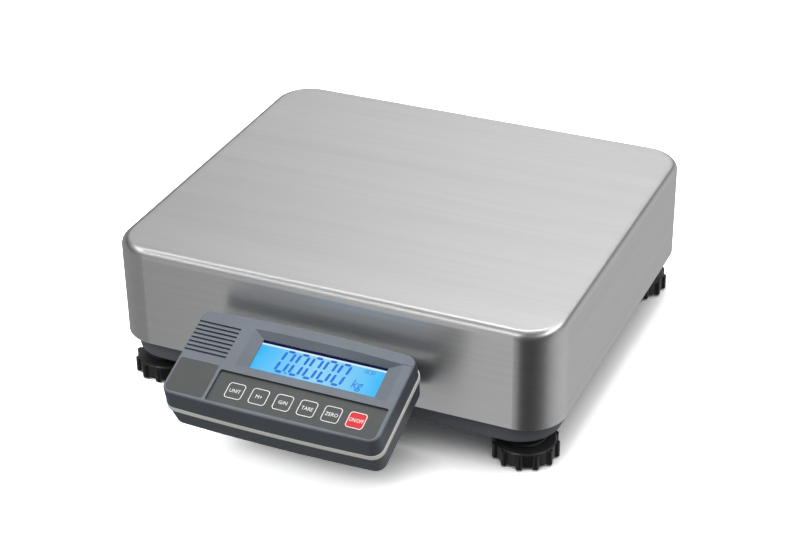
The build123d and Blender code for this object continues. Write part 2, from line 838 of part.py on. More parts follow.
# ---- display: window, glass, backlight and holder ----
glass_gap = 0.2
display_stack = (
    ("display_window", window_level - 0.05, window_thickness - 0.1, window_margin - 0.1),
    ("lcd_glass", window_bottom - glass_gap, 2.8, 1.8),
    ("lcd_backlight", window_bottom - glass_gap - 2.9, 2.6, 1.8),
)
for name, top, thickness, margin in display_stack:
    with BuildPart() as layer:
        with BuildSketch(head_plane(top - thickness)):
            with Locations(window_centre):
                Rectangle(window_size[0] + 2 * margin, window_size[1] + 2 * margin)
        extrude(amount=thickness)
    finish_part(layer, name)
holder_top = window_bottom - glass_gap - 2.9 - 2.6
with BuildPart() as holder:
    with BuildSketch(head_plane(board_level)):
        with Locations(window_centre):
            Rectangle(window_size[0] + 6, window_size[1] + 6)
            Rectangle(window_size[0] - 6, window_size[1] - 6, mode=Mode.SUBTRACT)
    extrude(amount=holder_top - board_level - 0.05)
finish_part(holder, "display_holder")

# ---- main board, its screws and the beeper ----
with BuildPart() as board:
    with BuildSketch(head_plane(board_level - board_thickness)):
        with Locations((0, (board_back + board_front) / 2)):
            RectangleRounded(2 * board_half_width, board_back - board_front, 2)
        with Locations(*board_screw_spots):
            Circle(1.7, mode=Mode.SUBTRACT)
    extrude(amount=board_thickness)
    # processor and amplifier, soldered underneath
    with BuildSketch(head_plane(board_level - board_thickness - 1.8)):
        with Locations((4, -36)):
            Rectangle(12, 12)
        with Locations((42, -30)):
            Rectangle(9, 6)
    extrude(amount=1.8)
finish_part(board, "main_board")
turned_group(
    "board_screws",
    head_plane,
    board_screw_spots,
    [(floor_level + 2, board_level, 1.2), (board_level, board_level + 1.8, 2.4)],
)
turned_group(
    "beeper",
    head_plane,
    [(-58.0, -28.0)],
    [(board_level, board_level + 7, 6.0)],
    socket=(board_level + 5, board_level + 8, 1.0),
)

# ---- key panel: circuit sheet with domes, printed overlay, six keys and a blank label ----
with BuildPart() as circuit:
    with BuildSketch(head_plane(circuit_level)):
        add(ground_outline(panel_centre, panel_size, 0.15, 1.6, 1))
    extrude(amount=circuit_thickness)
finish_part(circuit, "key_circuit")
dome_height = 0.25
turned_group(
    "key_domes",
    head_plane,
    key_spots,
    [(circuit_level + circuit_thickness, circuit_level + circuit_thickness + dome_height, 3.0)],
)
with BuildPart() as overlay:
    with BuildSketch(head_plane(panel_level - overlay_thickness)):
        add(ground_outline(panel_centre, panel_size, 0.15, 1.6, 1))
        with Locations(*key_spots):
            RectangleRounded(
                key_width + 2 * key_gap, key_height + 2 * key_gap, key_radius + key_gap, mode=Mode.SUBTRACT
            )
    extrude(amount=overlay_thickness)
finish_part(overlay, "key_overlay")
key_thickness = 0.6
key_proud = 0.1
for key_name, spot in zip(key_names, key_spots):
    with BuildPart() as key:
        with BuildSketch(head_plane(panel_level + key_proud - key_thickness)):
            with Locations(spot):
                RectangleRounded(key_width, key_height, key_radius)
        extrude(amount=key_thickness)
    finish_part(key, f"key_{key_name}")
with BuildPart() as label:
    with BuildSketch(head_plane(-label_recess)):
        add(ground_outline(label_centre, label_size, 0.15, 1.8, -1))
    extrude(amount=label_thickness)
finish_part(label, "label_plate")

# ---- power inlet on the head's left side ----
inlet_face = -85.0
with BuildPart() as inlet:
    with Locations(Location(head_point(inlet_face + 6, jack_along, jack_level), (0, 90, 0))):
        Cylinder(jack_radius, 12)
    with Locations(
        Location(head_point(inlet_face + 9, jack_along, jack_level), (head_tilt, 0, 0))
    ):
        Box(8, 8.6, 8.6)
    with Locations(Location(head_point(inlet_face + jack_depth / 2, jack_along, jack_level), (0, 90, 0))):
        Cylinder(jack_bore, jack_depth, mode=Mode.SUBTRACT)
finish_part(inlet, "power_inlet")

# ---- glands where the load cell's lead leaves the base and enters the head ----
turned_group(
    "head_gland",
    head_plane,
    [(gland_x, -13.0)],
    [
        (underside - 6, underside, gland_nut_radius),
        (underside, floor_level, gland_radius),
        (floor_level, floor_level + 3, gland_nut_radius),
    ],
    socket=(underside - 7, floor_level + 4, 2.0),
)
gland_wall = pan_y - base_depth / 2


def gland_plane(reach):
    # planes parallel to the base's front wall, counted outwards from its outer face
    return Plane(origin=(gland_x, gland_wall - reach, gland_z), x_dir=(1, 0, 0), z_dir=(0, -1, 0))


turned_group(
    "base_gland",
    gland_plane,
    [(0, 0)],
    [
        (-base_wall - 2, 0, gland_radius),
        (0, 7, gland_nut_radius),
    ],
    socket=(-base_wall - 3, 8, 2.0),
)
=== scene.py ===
import json
import math

import bpy
from mathutils import Euler, Matrix, Vector


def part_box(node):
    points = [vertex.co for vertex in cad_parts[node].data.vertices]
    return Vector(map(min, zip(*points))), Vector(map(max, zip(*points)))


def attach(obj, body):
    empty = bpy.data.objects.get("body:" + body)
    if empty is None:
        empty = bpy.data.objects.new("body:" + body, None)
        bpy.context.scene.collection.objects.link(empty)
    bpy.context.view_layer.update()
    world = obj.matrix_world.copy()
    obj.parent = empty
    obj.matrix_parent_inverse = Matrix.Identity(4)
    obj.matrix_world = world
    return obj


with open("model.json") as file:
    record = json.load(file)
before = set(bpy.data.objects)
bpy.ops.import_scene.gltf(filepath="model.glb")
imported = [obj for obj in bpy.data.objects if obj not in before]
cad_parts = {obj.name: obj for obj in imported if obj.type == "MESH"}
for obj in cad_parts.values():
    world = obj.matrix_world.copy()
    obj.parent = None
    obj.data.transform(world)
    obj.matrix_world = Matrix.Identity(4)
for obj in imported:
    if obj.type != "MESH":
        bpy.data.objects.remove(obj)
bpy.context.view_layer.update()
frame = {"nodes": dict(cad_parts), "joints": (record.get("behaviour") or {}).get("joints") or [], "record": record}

cadNodes = frame["nodes"]
keyNames = ["unit", "memory", "gross_net", "tare", "zero", "on_off"]
print("frame loaded:", len(cadNodes), "nodes")


def findHeadAxes():
    # columns: across the head, up its slope, out of its face
    press = next(j for j in frame["joints"] if j["name"] == "key_press_unit")
    out = -Vector(press["axis"]).normalized()
    across = Vector((1, 0, 0))
    return Matrix((across, out.cross(across), out)).transposed()


headAxes = findHeadAxes()
headTilt = math.atan2(-headAxes[1][2], headAxes[2][2])


def headBox(node):
    # lowest and highest corner of a node, measured along the head's own axes
    spots = [headAxes.transposed() @ v.co for v in cadNodes[node].data.vertices]
    low = Vector(min(s[i] for s in spots) for i in range(3))
    high = Vector(max(s[i] for s in spots) for i in range(3))
    return low, high


def middle(box):
    return (box[0] + box[1]) / 2


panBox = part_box("pan")
panCentre = middle(panBox)


cameraSetup = {
    "aimFromPan": (0.0049, -0.0275),  # sideways and forwards of the pan's centre
    "aimHeight": 0.0692,
    "azimuth": 24.25,
    "elevation": 30.1,
    "roll": -0.84,
    "distance": 1.4996,
    "lens": 88.3,
    "sensor": 36,
}


def makeCamera(setup):
    turn = math.radians(setup["azimuth"])
    rise = math.radians(setup["elevation"])
    sideways, forwards = setup["aimFromPan"]
    aim = Vector((panCentre.x + sideways, panCentre.y + forwards, setup["aimHeight"]))
    facing = Euler((math.pi / 2 - rise, 0, turn)).to_matrix()
    facing = facing @ Matrix.Rotation(math.radians(setup["roll"]), 3, "Z")
    bpy.ops.object.camera_add()
    camera = bpy.context.object
    camera.name = "studioView"
    camera.data.lens = setup["lens"]
    camera.data.sensor_width = setup["sensor"]  # millimetres, like the lens
    stepBack = Matrix.Translation((0, 0, setup["distance"]))
    camera.matrix_world = Matrix.Translation(aim) @ facing.to_4x4() @ stepBack
    bpy.context.scene.camera = camera


makeCamera(cameraSetup)


def addNode(tree, kind, label=None, **settings):
    node = tree.nodes.new(kind)
    for key, value in settings.items():
        setattr(node, key, value)
    if label:
        node.label = label
    return node


def setRamp(node, stops):
    # stops are (position, value or colour)
    elements = node.color_ramp.elements
    while len(elements) < len(stops):
        elements.new(0.5)
    for element, (position, value) in zip(elements, stops):
        element.position = position
        element.color = (*value, 1) if isinstance(value, tuple) else (value, value, value, 1)


studioSetup = {
    "whiteLevel": 1.0,
    "lampTarget": (0, 0, 0.05),
    # fill light, from straight below to straight above
    "sky": [(0.0, 0.08), (0.50, 0.12), (0.78, 0.40), (1.0, 2.2)],
    "floorColour": (0.93, 0.93, 0.93),
    "floorGain": 1.65,  # the floor shows pure white outside the shadow
    "floorBounce": (0.12, 0.12, 0.124),
    "floorSize": 14,
    "floorMottle": 1.5,
    "floorDarker": 0.99,  # the mottle's darker tone, as a share of the floor's colour
    # brightness that reflections meet, by compass direction: 0 and 1 are the front, 0.25 the left,
    # 0.5 the back and 0.75 the right
    "surround": [
        (0.0, 0.08), (0.028, 0.26), (0.048, 1.0), (0.066, 0.80), (0.082, 0.40), (0.10, 0.33),
        (0.13, 0.34), (0.30, 0.40), (0.385, 0.36), (0.412, 0.66), (0.430, 0.98), (0.458, 0.82),
        (0.49, 0.52), (0.56, 0.64), (0.60, 0.80), (0.70, 0.72), (0.77, 0.46), (0.82, 0.16),
        (0.90, 0.05), (0.96, 0.05),
    ],
    # and by height: a strip light high up shows as a double line along a rounded edge
    "canopy": [
        (0.0, 0.08), (0.62, 0.08), (0.70, 0.014), (0.737, 0.020), (0.762, 0.072), (0.80, 0.106),
        (0.86, 0.06), (0.90, 0.88), (0.908, 0.88), (0.922, 0.04), (1.0, 0.04),
    ],
    "canopyGain": 9.9,
}


def makeWorld(setup):
    world = bpy.data.worlds.new("studio")
    bpy.context.scene.world = world
    world.use_nodes = True
    tree = world.node_tree
    tree.nodes.clear()
    coords = addNode(tree, "ShaderNodeTexCoord")
    split = addNode(tree, "ShaderNodeSeparateXYZ")
    compass = addNode(tree, "ShaderNodeMath", operation="ARCTAN2")
    turns = addNode(tree, "ShaderNodeMapRange")
    turns.inputs["From Min"].default_value = -math.pi
    turns.inputs["From Max"].default_value = math.pi
    ramp = addNode(tree, "ShaderNodeValToRGB")
    ramp.color_ramp.interpolation = "B_SPLINE"
    setRamp(ramp, setup["surround"])
    path = addNode(tree, "ShaderNodeLightPath")
    seen = addNode(tree, "ShaderNodeBackground", "reflected")
    seen.inputs["Color"].default_value = (setup["canopyGain"],) * 3 + (1,)
    fill = addNode(tree, "ShaderNodeBackground", "fill light")
    height = addNode(tree, "ShaderNodeMapRange")
    height.inputs["From Min"].default_value = -1
    sky = addNode(tree, "ShaderNodeValToRGB")
    setRamp(sky, setup["sky"])
    plain = addNode(tree, "ShaderNodeBackground", "backdrop")
    plain.inputs["Color"].default_value = (1, 1, 1, 1)
    plain.inputs["Strength"].default_value = setup["whiteLevel"]
    mix = addNode(tree, "ShaderNodeMixShader")
    backdrop = addNode(tree, "ShaderNodeMixShader")
    output = addNode(tree, "ShaderNodeOutputWorld")
    link = tree.links.new
    link(coords.outputs["Generated"], split.inputs[0])
    link(split.outputs["X"], compass.inputs[0])
    link(split.outputs["Y"], compass.inputs[1])
    link(compass.outputs[0], turns.inputs["Value"])
    link(turns.outputs[0], ramp.inputs[0])
    canopy = addNode(tree, "ShaderNodeValToRGB")
    setRamp(canopy, setup["canopy"])
    both = addNode(tree, "ShaderNodeMath", operation="MULTIPLY")
    link(ramp.outputs["Color"], both.inputs[0])
    link(canopy.outputs["Color"], both.inputs[1])
    link(both.outputs[0], seen.inputs["Strength"])
    link(split.outputs["Z"], height.inputs["Value"])
    link(height.outputs[0], sky.inputs[0])
    link(height.outputs[0], canopy.inputs[0])
    link(sky.outputs["Color"], fill.inputs["Color"])
    link(path.outputs["Is Glossy Ray"], mix.inputs[0])
    link(fill.outputs[0], mix.inputs[1])
    link(seen.outputs[0], mix.inputs[2])
    link(path.outputs["Is Camera Ray"], backdrop.inputs[0])
    link(mix.outputs[0], backdrop.inputs[1])
    link(plain.outputs[0], backdrop.inputs[2])
    link(backdrop.outputs[0], output.inputs[0])


makeWorld(studioSetup)


def makeFloor(setup):
    bpy.ops.mesh.primitive_plane_add(size=setup["floorSize"], location=(0, 0, 0))
    floor = bpy.context.object
    floor.name = "studioFloor"
    material = bpy.data.materials.new("paleFloor")
    material.use_nodes = True
    tree = material.node_tree
    shader = tree.nodes["Principled BSDF"]
    coords = addNode(tree, "ShaderNodeTexCoord")
    noise = addNode(tree, "ShaderNodeTexNoise")
    noise.inputs["Scale"].default_value = setup["floorMottle"]
    ramp = addNode(tree, "ShaderNodeValToRGB")
    base = setup["floorColour"]
    setRamp(ramp, [(0.3, tuple(c * setup["floorDarker"] for c in base)), (0.7, base)])
    path = addNode(tree, "ShaderNodeLightPath")
    bounced = addNode(tree, "ShaderNodeMix", data_type="RGBA")
    bounced.inputs[6].default_value = (*setup["floorBounce"], 1)
    tree.links.new(coords.outputs["Object"], noise.inputs["Vector"])
    tree.links.new(noise.outputs["Fac"], ramp.inputs[0])
    tree.links.new(path.outputs["Is Camera Ray"], bounced.inputs[0])
    gain = addNode(tree, "ShaderNodeVectorMath", operation="SCALE")
    gain.inputs["Scale"].default_value = setup["floorGain"]
    tree.links.new(ramp.outputs["Color"], gain.inputs[0])
    tree.links.new(gain.outputs[0], bounced.inputs[7])
    tree.links.new(bounced.outputs[2], shader.inputs["Base Color"])
    shader.inputs["Roughness"].default_value = 0.9
    shader.inputs["Specular IOR Level"].default_value = 0.1
    floor.data.materials.append(material)
    floor.visible_glossy = False
    return floor


def makeSoftbox(name, place, size, power):
    bpy.ops.object.light_add(type="AREA", location=place)
    lamp = bpy.context.object
    lamp.name = name
    lamp.data.shape = "RECTANGLE"
    lamp.data.size, lamp.data.size_y = size
    lamp.data.energy = power
    lamp.visible_glossy = False  # the surround alone is mirrored in glass and steel
    lamp.visible_transmission = False
    aim = Vector(studioSetup["lampTarget"]) - Vector(place)
    lamp.rotation_euler = aim.to_track_quat("-Z", "Y").to_euler()
    return lamp


lampSetup = {
    "overhead": {"place": (-0.14, 0.30, 1.8), "size": (1.0, 0.8), "power": 21},
    "leftFill": {"place": (-1.5, -0.6, 0.9), "size": (0.9, 0.9), "power": 3},
    "floorWash": {"place": (-1.1, -1.2, 0.9), "size": (0.7, 0.7), "power": 24},
}

floor = makeFloor(studioSetup)
lamps = {lampName: makeSoftbox(lampName, **lamp) for lampName, lamp in lampSetup.items()}
# the wash brightens the floor and leaves the object alone
washed = bpy.data.collections.new("washedFloor")
washed.objects.link(floor)
lamps["floorWash"].light_linking.receiver_collection = washed
bpy.context.scene.view_settings.view_transform = "Standard"
print("studio ready")


def makeGroup(name, inputs, outputs):
    # a shader node group with named sockets: (name, kind, default)
    tree = bpy.data.node_groups.new(name, "ShaderNodeTree")
    for label, kind, value in inputs:
        socket = tree.interface.new_socket(name=label, in_out="INPUT", socket_type="NodeSocket" + kind)
        if value is not None:
            socket.default_value = value
    for label, kind in outputs:
        tree.interface.new_socket(name=label, in_out="OUTPUT", socket_type="NodeSocket" + kind)
    entry = tree.nodes.new("NodeGroupInput")
    leave = tree.nodes.new("NodeGroupOutput")
    return tree, entry.outputs, leave.inputs


def mathStep(tree, operation, first, second=None, third=None):
    # one Math node; numbers are typed in, sockets are linked
    node = tree.nodes.new("ShaderNodeMath")
    node.operation = operation
    for slot, value in zip(node.inputs, (first, second, third)):
        if value is None:
            continue
        if isinstance(value, (int, float)):
            slot.default_value = value
        else:
            tree.links.new(value, slot)
    return node.outputs[0]


def noiseStep(tree, vector, scale, detail=3.0, roughness=0.5):
    node = tree.nodes.new("ShaderNodeTexNoise")
    node.inputs["Scale"].default_value = scale
    node.inputs["Detail"].default_value = detail
    node.inputs["Roughness"].default_value = roughness
    tree.links.new(vector, node.inputs["Vector"])
    return node.outputs["Fac"]


wearAndHighlightSetup = {"width": 0.0006, "gain": 6.0, "patchScale": 240.0}


def makeEdgeWearAndHighlight(setup):
    # mask that is 1 on convex edges, broken up by noise: rubbed wear, and also a painted highlight along the edges
    tree, inputs, outputs = makeGroup(
        "edgeWearAndHighlight",
        [("Vector", "Vector", None), ("Width", "Float", setup["width"]), ("Amount", "Float", 0.5)],
        [("Mask", "Float")],
    )
    bevel = addNode(tree, "ShaderNodeBevel", samples=4)
    geometry = addNode(tree, "ShaderNodeNewGeometry")
    dot = addNode(tree, "ShaderNodeVectorMath", operation="DOT_PRODUCT")
    tree.links.new(inputs["Width"], bevel.inputs["Radius"])
    tree.links.new(bevel.outputs[0], dot.inputs[0])
    tree.links.new(geometry.outputs["Normal"], dot.inputs[1])
    turned = mathStep(tree, "SUBTRACT", 1.0, dot.outputs["Value"])
    edge = mathStep(tree, "MULTIPLY", turned, setup["gain"])
    patchy = noiseStep(tree, inputs["Vector"], setup["patchScale"])
    broken = mathStep(tree, "MULTIPLY", edge, patchy)
    mask = tree.nodes.new("ShaderNodeClamp")
    tree.links.new(mathStep(tree, "MULTIPLY", broken, inputs["Amount"]), mask.inputs["Value"])
    tree.links.new(mask.outputs[0], outputs["Mask"])
    return tree


grainSetup = {"fineDetail": 2.0, "pitShare": 0.5, "mottleScale": 35.0, "mottleDetail": 4.0}


def makeMouldGrain(setup):
    # spark-eroded plastic or powder paint: fine bumps, and a slow mottle for tone and gloss
    tree, inputs, outputs = makeGroup(
        "mouldGrain",
        [("Vector", "Vector", None), ("Scale", "Float", 1800.0)],
        [("Height", "Float"), ("Mottle", "Float")],
    )
    fine = tree.nodes.new("ShaderNodeTexNoise")
    fine.inputs["Detail"].default_value = setup["fineDetail"]
    tree.links.new(inputs["Vector"], fine.inputs["Vector"])
    tree.links.new(inputs["Scale"], fine.inputs["Scale"])
    pits = tree.nodes.new("ShaderNodeTexVoronoi")
    tree.links.new(inputs["Vector"], pits.inputs["Vector"])
    tree.links.new(inputs["Scale"], pits.inputs["Scale"])
    both = mathStep(tree, "MULTIPLY_ADD", pits.outputs["Distance"], setup["pitShare"], fine.outputs["Fac"])
    tree.links.new(both, outputs["Height"])
    mottle = noiseStep(tree, inputs["Vector"], setup["mottleScale"], setup["mottleDetail"])
    tree.links.new(mottle, outputs["Mottle"])
    return tree


# scale, detail and roughness of each of the brushed grain's noises
brushNoise = {"Streak": (90.0, 4.0, 0.65), "Scratch": (700.0, 2.0, 0.7), "Cloud": (9.0, 2.0, 0.5)}


def makeBrushedGrain():
    # straight scratches along one direction; Vector is squeezed along the grain by the material
    tree, inputs, outputs = makeGroup(
        "brushedGrain",
        [("Vector", "Vector", None)],
        [("Streak", "Float"), ("Scratch", "Float"), ("Cloud", "Float")],
    )
    for label, noise in brushNoise.items():
        tree.links.new(noiseStep(tree, inputs["Vector"], *noise), outputs[label])
    return tree


dustSetup = {
    "amount": 0.04,
    "colour": (0.62, 0.60, 0.56),
    "flatEnough": 0.3,  # how far a face has to look up before dust stays on it
    "patchNoise": (55.0, 5.0, 0.6),  # scale, detail and roughness
}


def makeSettledDust(setup):
    # a little pale dust on faces that look up
    tree, inputs, outputs = makeGroup(
        "settledDust",
        [("Vector", "Vector", None), ("Amount", "Float", setup["amount"])],
        [("Mask", "Float")],
    )
    geometry = addNode(tree, "ShaderNodeNewGeometry")
    split = addNode(tree, "ShaderNodeSeparateXYZ")
    tree.links.new(geometry.outputs["Normal"], split.inputs[0])
    upward = addNode(tree, "ShaderNodeMapRange")
    upward.inputs["From Min"].default_value = setup["flatEnough"]
    tree.links.new(split.outputs["Z"], upward.inputs["Value"])
    patch = noiseStep(tree, inputs["Vector"], *setup["patchNoise"])
    both = mathStep(tree, "MULTIPLY", upward.outputs[0], patch)
    tree.links.new(mathStep(tree, "MULTIPLY", both, inputs["Amount"]), outputs["Mask"])
    return tree


groups = {
    "edgeWearAndHighlight": makeEdgeWearAndHighlight(wearAndHighlightSetup),
    "mouldGrain": makeMouldGrain(grainSetup),
    "brushedGrain": makeBrushedGrain(),
    "settledDust": makeSettledDust(dustSetup),
}
print("shared shader groups:", ", ".join(groups))


def placeGroup(tree, name, vector, **values):
    node = tree.nodes.new("ShaderNodeGroup")
    node.node_tree = groups[name]
    for label, value in values.items():
        node.inputs[label].default_value = value
    tree.links.new(vector, node.inputs["Vector"])
    return node.outputs


def startMaterial(name, roughness=0.5, **sockets):
    material = bpy.data.materials.new(name)
    material.use_nodes = True
    tree = material.node_tree
    shader = tree.nodes["Principled BSDF"]
    shader.inputs["Roughness"].default_value = roughness
    for label, value in sockets.items():
        shader.inputs[label.replace("_", " ")].default_value = value
    vector = tree.nodes.new("ShaderNodeTexCoord").outputs["Object"]
    return material, tree, shader, vector


def mixColours(tree, factor, first, second):
    node = tree.nodes.new("ShaderNodeMix")
    node.data_type = "RGBA"
    for label, value in (("Factor", factor), ("A", first), ("B", second)):
        target = next(i for i in node.inputs if i.name == label and i.enabled)
        if isinstance(value, tuple):
            target.default_value = (*value, 1)
        else:
            tree.links.new(value, target)
    return next(o for o in node.outputs if o.enabled)


def addBump(tree, shader, height, distance):
    bump = tree.nodes.new("ShaderNodeBump")
    bump.inputs["Distance"].default_value = distance
    tree.links.new(height, bump.inputs["Height"])
    tree.links.new(bump.outputs["Normal"], shader.inputs["Normal"])


def spread(tree, value, low, high):
    # a 0 to 1 value spread over low to high
    node = tree.nodes.new("ShaderNodeMapRange")
    node.inputs["To Min"].default_value = low
    node.inputs["To Max"].default_value = high
    tree.links.new(value, node.inputs["Value"])
    return node.outputs[0]


mouldedSetup = {"darker": 0.86, "paler": 1.1, "glossier": 0.07, "duller": 0.09}


def moulded(name, colour, wornAndHighlit, roughness, grain, depth, wearAndHighlight=0.5, **sockets):
    # moulded plastic, paint, rubber and film share one build: grain, mottle, edge wear with a painted edge
    # highlight, and dust
    material, tree, shader, vector = startMaterial(name, roughness, **sockets)
    texture = placeGroup(tree, "mouldGrain", vector, Scale=grain)
    edges = placeGroup(tree, "edgeWearAndHighlight", vector, Width=wearAndHighlightSetup["width"], Amount=wearAndHighlight)
    dusty = placeGroup(tree, "settledDust", vector, Amount=dustSetup["amount"])
    darker = tuple(c * mouldedSetup["darker"] for c in colour)
    paler = tuple(c * mouldedSetup["paler"] for c in colour)
    body = mixColours(tree, texture["Mottle"], darker, paler)
    # convex edges take the edge colour: partly rubbed wear, partly a painted highlight along the edge
    rubbedAndHighlit = mixColours(tree, edges["Mask"], body, wornAndHighlit)
    final = mixColours(tree, dusty["Mask"], rubbedAndHighlit, dustSetup["colour"])
    tree.links.new(final, shader.inputs["Base Color"])
    glossiest, dullest = roughness - mouldedSetup["glossier"], roughness + mouldedSetup["duller"]
    gloss = spread(tree, texture["Mottle"], glossiest, dullest)
    tree.links.new(gloss, shader.inputs["Roughness"])
    addBump(tree, shader, texture["Height"], depth)
    return material


def brushedSteel(name, setup):
    material, tree, shader, vector = startMaterial(name, 0.3, Metallic=1.0, Anisotropic=setup["anisotropy"])
    geometry = tree.nodes.new("ShaderNodeNewGeometry")
    facing = addNode(tree, "ShaderNodeSeparateXYZ")
    tree.links.new(geometry.outputs["Normal"], facing.inputs[0])
    sideways = mathStep(tree, "ABSOLUTE", facing.outputs["X"])
    # the two end walls are brushed front to back
    onEnds = mathStep(tree, "GREATER_THAN", sideways, setup["endWall"])
    grains = []
    for squeeze in ((setup["squeeze"], 1, 1), (1, setup["squeeze"], 1)):
        mapping = tree.nodes.new("ShaderNodeMapping")
        mapping.inputs["Scale"].default_value = squeeze
        tree.links.new(vector, mapping.inputs["Vector"])
        grains.append(placeGroup(tree, "brushedGrain", mapping.outputs[0]))

    def pick(label):
        blend = tree.nodes.new("ShaderNodeMix")
        for place, value in ((0, onEnds), (2, grains[0][label]), (3, grains[1][label])):
            tree.links.new(value, blend.inputs[place])
        return blend.outputs[0]

    streak, scratch, cloud = pick("Streak"), pick("Scratch"), pick("Cloud")
    streaky, other = setup["streakShare"], 1 - setup["streakShare"]
    tone = mathStep(tree, "MULTIPLY_ADD", streak, streaky, mathStep(tree, "MULTIPLY", scratch, other))
    colour = mixColours(tree, tone, setup["dark"], setup["light"])
    tree.links.new(colour, shader.inputs["Base Color"])
    shine = mathStep(tree, "MULTIPLY_ADD", cloud, other, mathStep(tree, "MULTIPLY", streak, streaky))
    tree.links.new(spread(tree, shine, *setup["roughness"]), shader.inputs["Roughness"])
    addBump(tree, shader, scratch, setup["depth"])
    tangent = addNode(tree, "ShaderNodeCombineXYZ")
    tangent.inputs["Z"].default_value = 1  # highlights stretch across the grain
    tree.links.new(mathStep(tree, "SUBTRACT", 1.0, onEnds), tangent.inputs["Y"])
    tree.links.new(tangent.outputs[0], shader.inputs["Tangent"])
    return material


steelSetup = {
    "anisotropy": 0.7,
    "squeeze": 0.012,
    "endWall": 0.72,
    "dark": (0.60, 0.60, 0.605),
    "light": (0.80, 0.80, 0.805),
    "roughness": (0.26, 0.40),
    "depth": 0.00002,
    "streakShare": 0.5,  # of tone and of gloss; scratches fill up the one and clouds the other
}


metalSetup = {"glossier": 0.08, "duller": 0.1}


def bareMetal(name, dark, light, roughness, grain, depth):
    # plated, cast or milled metal
    material, tree, shader, vector = startMaterial(name, roughness, Metallic=1.0)
    texture = placeGroup(tree, "mouldGrain", vector, Scale=grain)
    tree.links.new(mixColours(tree, texture["Mottle"], dark, light), shader.inputs["Base Color"])
    glossiest, dullest = roughness - metalSetup["glossier"], roughness + metalSetup["duller"]
    gloss = spread(tree, texture["Mottle"], glossiest, dullest)
    tree.links.new(gloss, shader.inputs["Roughness"])
    addBump(tree, shader, texture["Height"], depth)
    return material


smearSetup = {"scale": 60.0, "detail": 4.0, "darker": 0.98, "duller": 0.01}


def clearPlastic(name, colour, roughness, bend=1.46):
    material, tree, shader, vector = startMaterial(name, roughness, Transmission_Weight=1.0, IOR=bend)
    smear = noiseStep(tree, vector, smearSetup["scale"], smearSetup["detail"])
    smeared = mixColours(tree, smear, tuple(c * smearSetup["darker"] for c in colour), colour)
    tree.links.new(smeared, shader.inputs["Base Color"])
    gloss = spread(tree, smear, roughness, roughness + smearSetup["duller"])
    tree.links.new(gloss, shader.inputs["Roughness"])
    return material


crystalSetup = {
    "edge": (0.03, 0.52, 1.0),
    "centre": (0.36, 0.76, 1.0),
    # colour and depth of the thin dark band at the glass's top edge: painted shade of the window opening's top
    # wall
    "openingShade": (0.002, 0.004, 0.05),
    "glow": (0.85, 0.97, 1.0),
    "openingShadeDepth": 0.0007,
    "glowDepth": 0.0016,
    "strength": 0.92,
    "unlit": (0.02, 0.05, 0.1),
    "margin": 0.0025,      # the window's rim that covers the glass
    "patchScale": 45.0,
    "patchDetail": 2.0,
    "patchShare": 0.35,
    "outwardShare": 0.9,
    "paleShare": 0.15,
    "glowFade": 1.6,
}


def liquidCrystal(name, setup):
    # back-lit blue glass: paler in the middle and along its upper edge, where the lamp shines in; a thin dark navy
    # band right at the top is painted shade of the window opening's top wall
    material, tree, shader, vector = startMaterial(name, 0.4, Specular_IOR_Level=0.1)
    low, high = headBox("display_window")
    turned = tree.nodes.new("ShaderNodeMapping")
    turned.vector_type = "POINT"
    turned.inputs["Rotation"].default_value = (-headTilt, 0, 0)
    tree.links.new(vector, turned.inputs["Vector"])
    split = tree.nodes.new("ShaderNodeSeparateXYZ")
    tree.links.new(turned.outputs[0], split.inputs[0])
    centre = (low.x + high.x) / 2
    halfWidth = (high.x - low.x) / 2
    away = mathStep(tree, "ABSOLUTE", mathStep(tree, "SUBTRACT", split.outputs["X"], centre))
    outward = mathStep(tree, "DIVIDE", away, halfWidth)
    patchy = noiseStep(tree, vector, setup["patchScale"], setup["patchDetail"])
    darkening = mathStep(tree, "MULTIPLY", outward, setup["outwardShare"])
    shade = mathStep(tree, "MULTIPLY_ADD", patchy, setup["patchShare"], darkening)
    paler = mathStep(tree, "SUBTRACT", shade, setup["paleShare"])
    body = mixColours(tree, paler, setup["centre"], setup["edge"])
    fromTop = mathStep(tree, "SUBTRACT", high.y - setup["margin"], split.outputs["Y"])
    glow = addNode(tree, "ShaderNodeMapRange")
    glow.inputs["From Min"].default_value = setup["glowDepth"]
    glow.inputs["From Max"].default_value = setup["glowDepth"] * setup["glowFade"]
    glow.inputs["To Min"].default_value = 1
    glow.inputs["To Max"].default_value = 0
    tree.links.new(fromTop, glow.inputs["Value"])
    lit = mixColours(tree, glow.outputs[0], body, setup["glow"])
    # painted shade: a thin dark navy band along the top edge of the glass, standing in for the shadowed wall of
    # the window opening
    inOpeningShade = mathStep(tree, "LESS_THAN", fromTop, setup["openingShadeDepth"])
    final = mixColours(tree, inOpeningShade, lit, setup["openingShade"])
    shader.inputs["Base Color"].default_value = (*setup["unlit"], 1)
    tree.links.new(final, shader.inputs["Emission Color"])
    shader.inputs["Emission Strength"].default_value = setup["strength"]
    return material


boardSetup = {
    "resist": (0.012, 0.11, 0.045),
    "copper": (0.02, 0.17, 0.07),
    "pitch": 260.0,
    "trackEdge": 0.5,  # where a track stops, as a distance in the pattern
    "depth": 0.00004,
}


def circuitBoard(name, setup):
    # green solder resist with square-cornered tracks under it
    material, tree, shader, vector = startMaterial(name, 0.3, Coat_Weight=0.4)
    tracks = tree.nodes.new("ShaderNodeTexVoronoi")
    tracks.distance = "CHEBYCHEV"
    tracks.feature = "F1"
    tracks.inputs["Scale"].default_value = setup["pitch"]
    tree.links.new(vector, tracks.inputs["Vector"])
    line = mathStep(tree, "GREATER_THAN", tracks.outputs["Distance"], setup["trackEdge"])
    tree.links.new(mixColours(tree, line, setup["resist"], setup["copper"]), shader.inputs["Base Color"])
    addBump(tree, shader, line, setup["depth"])
    return material


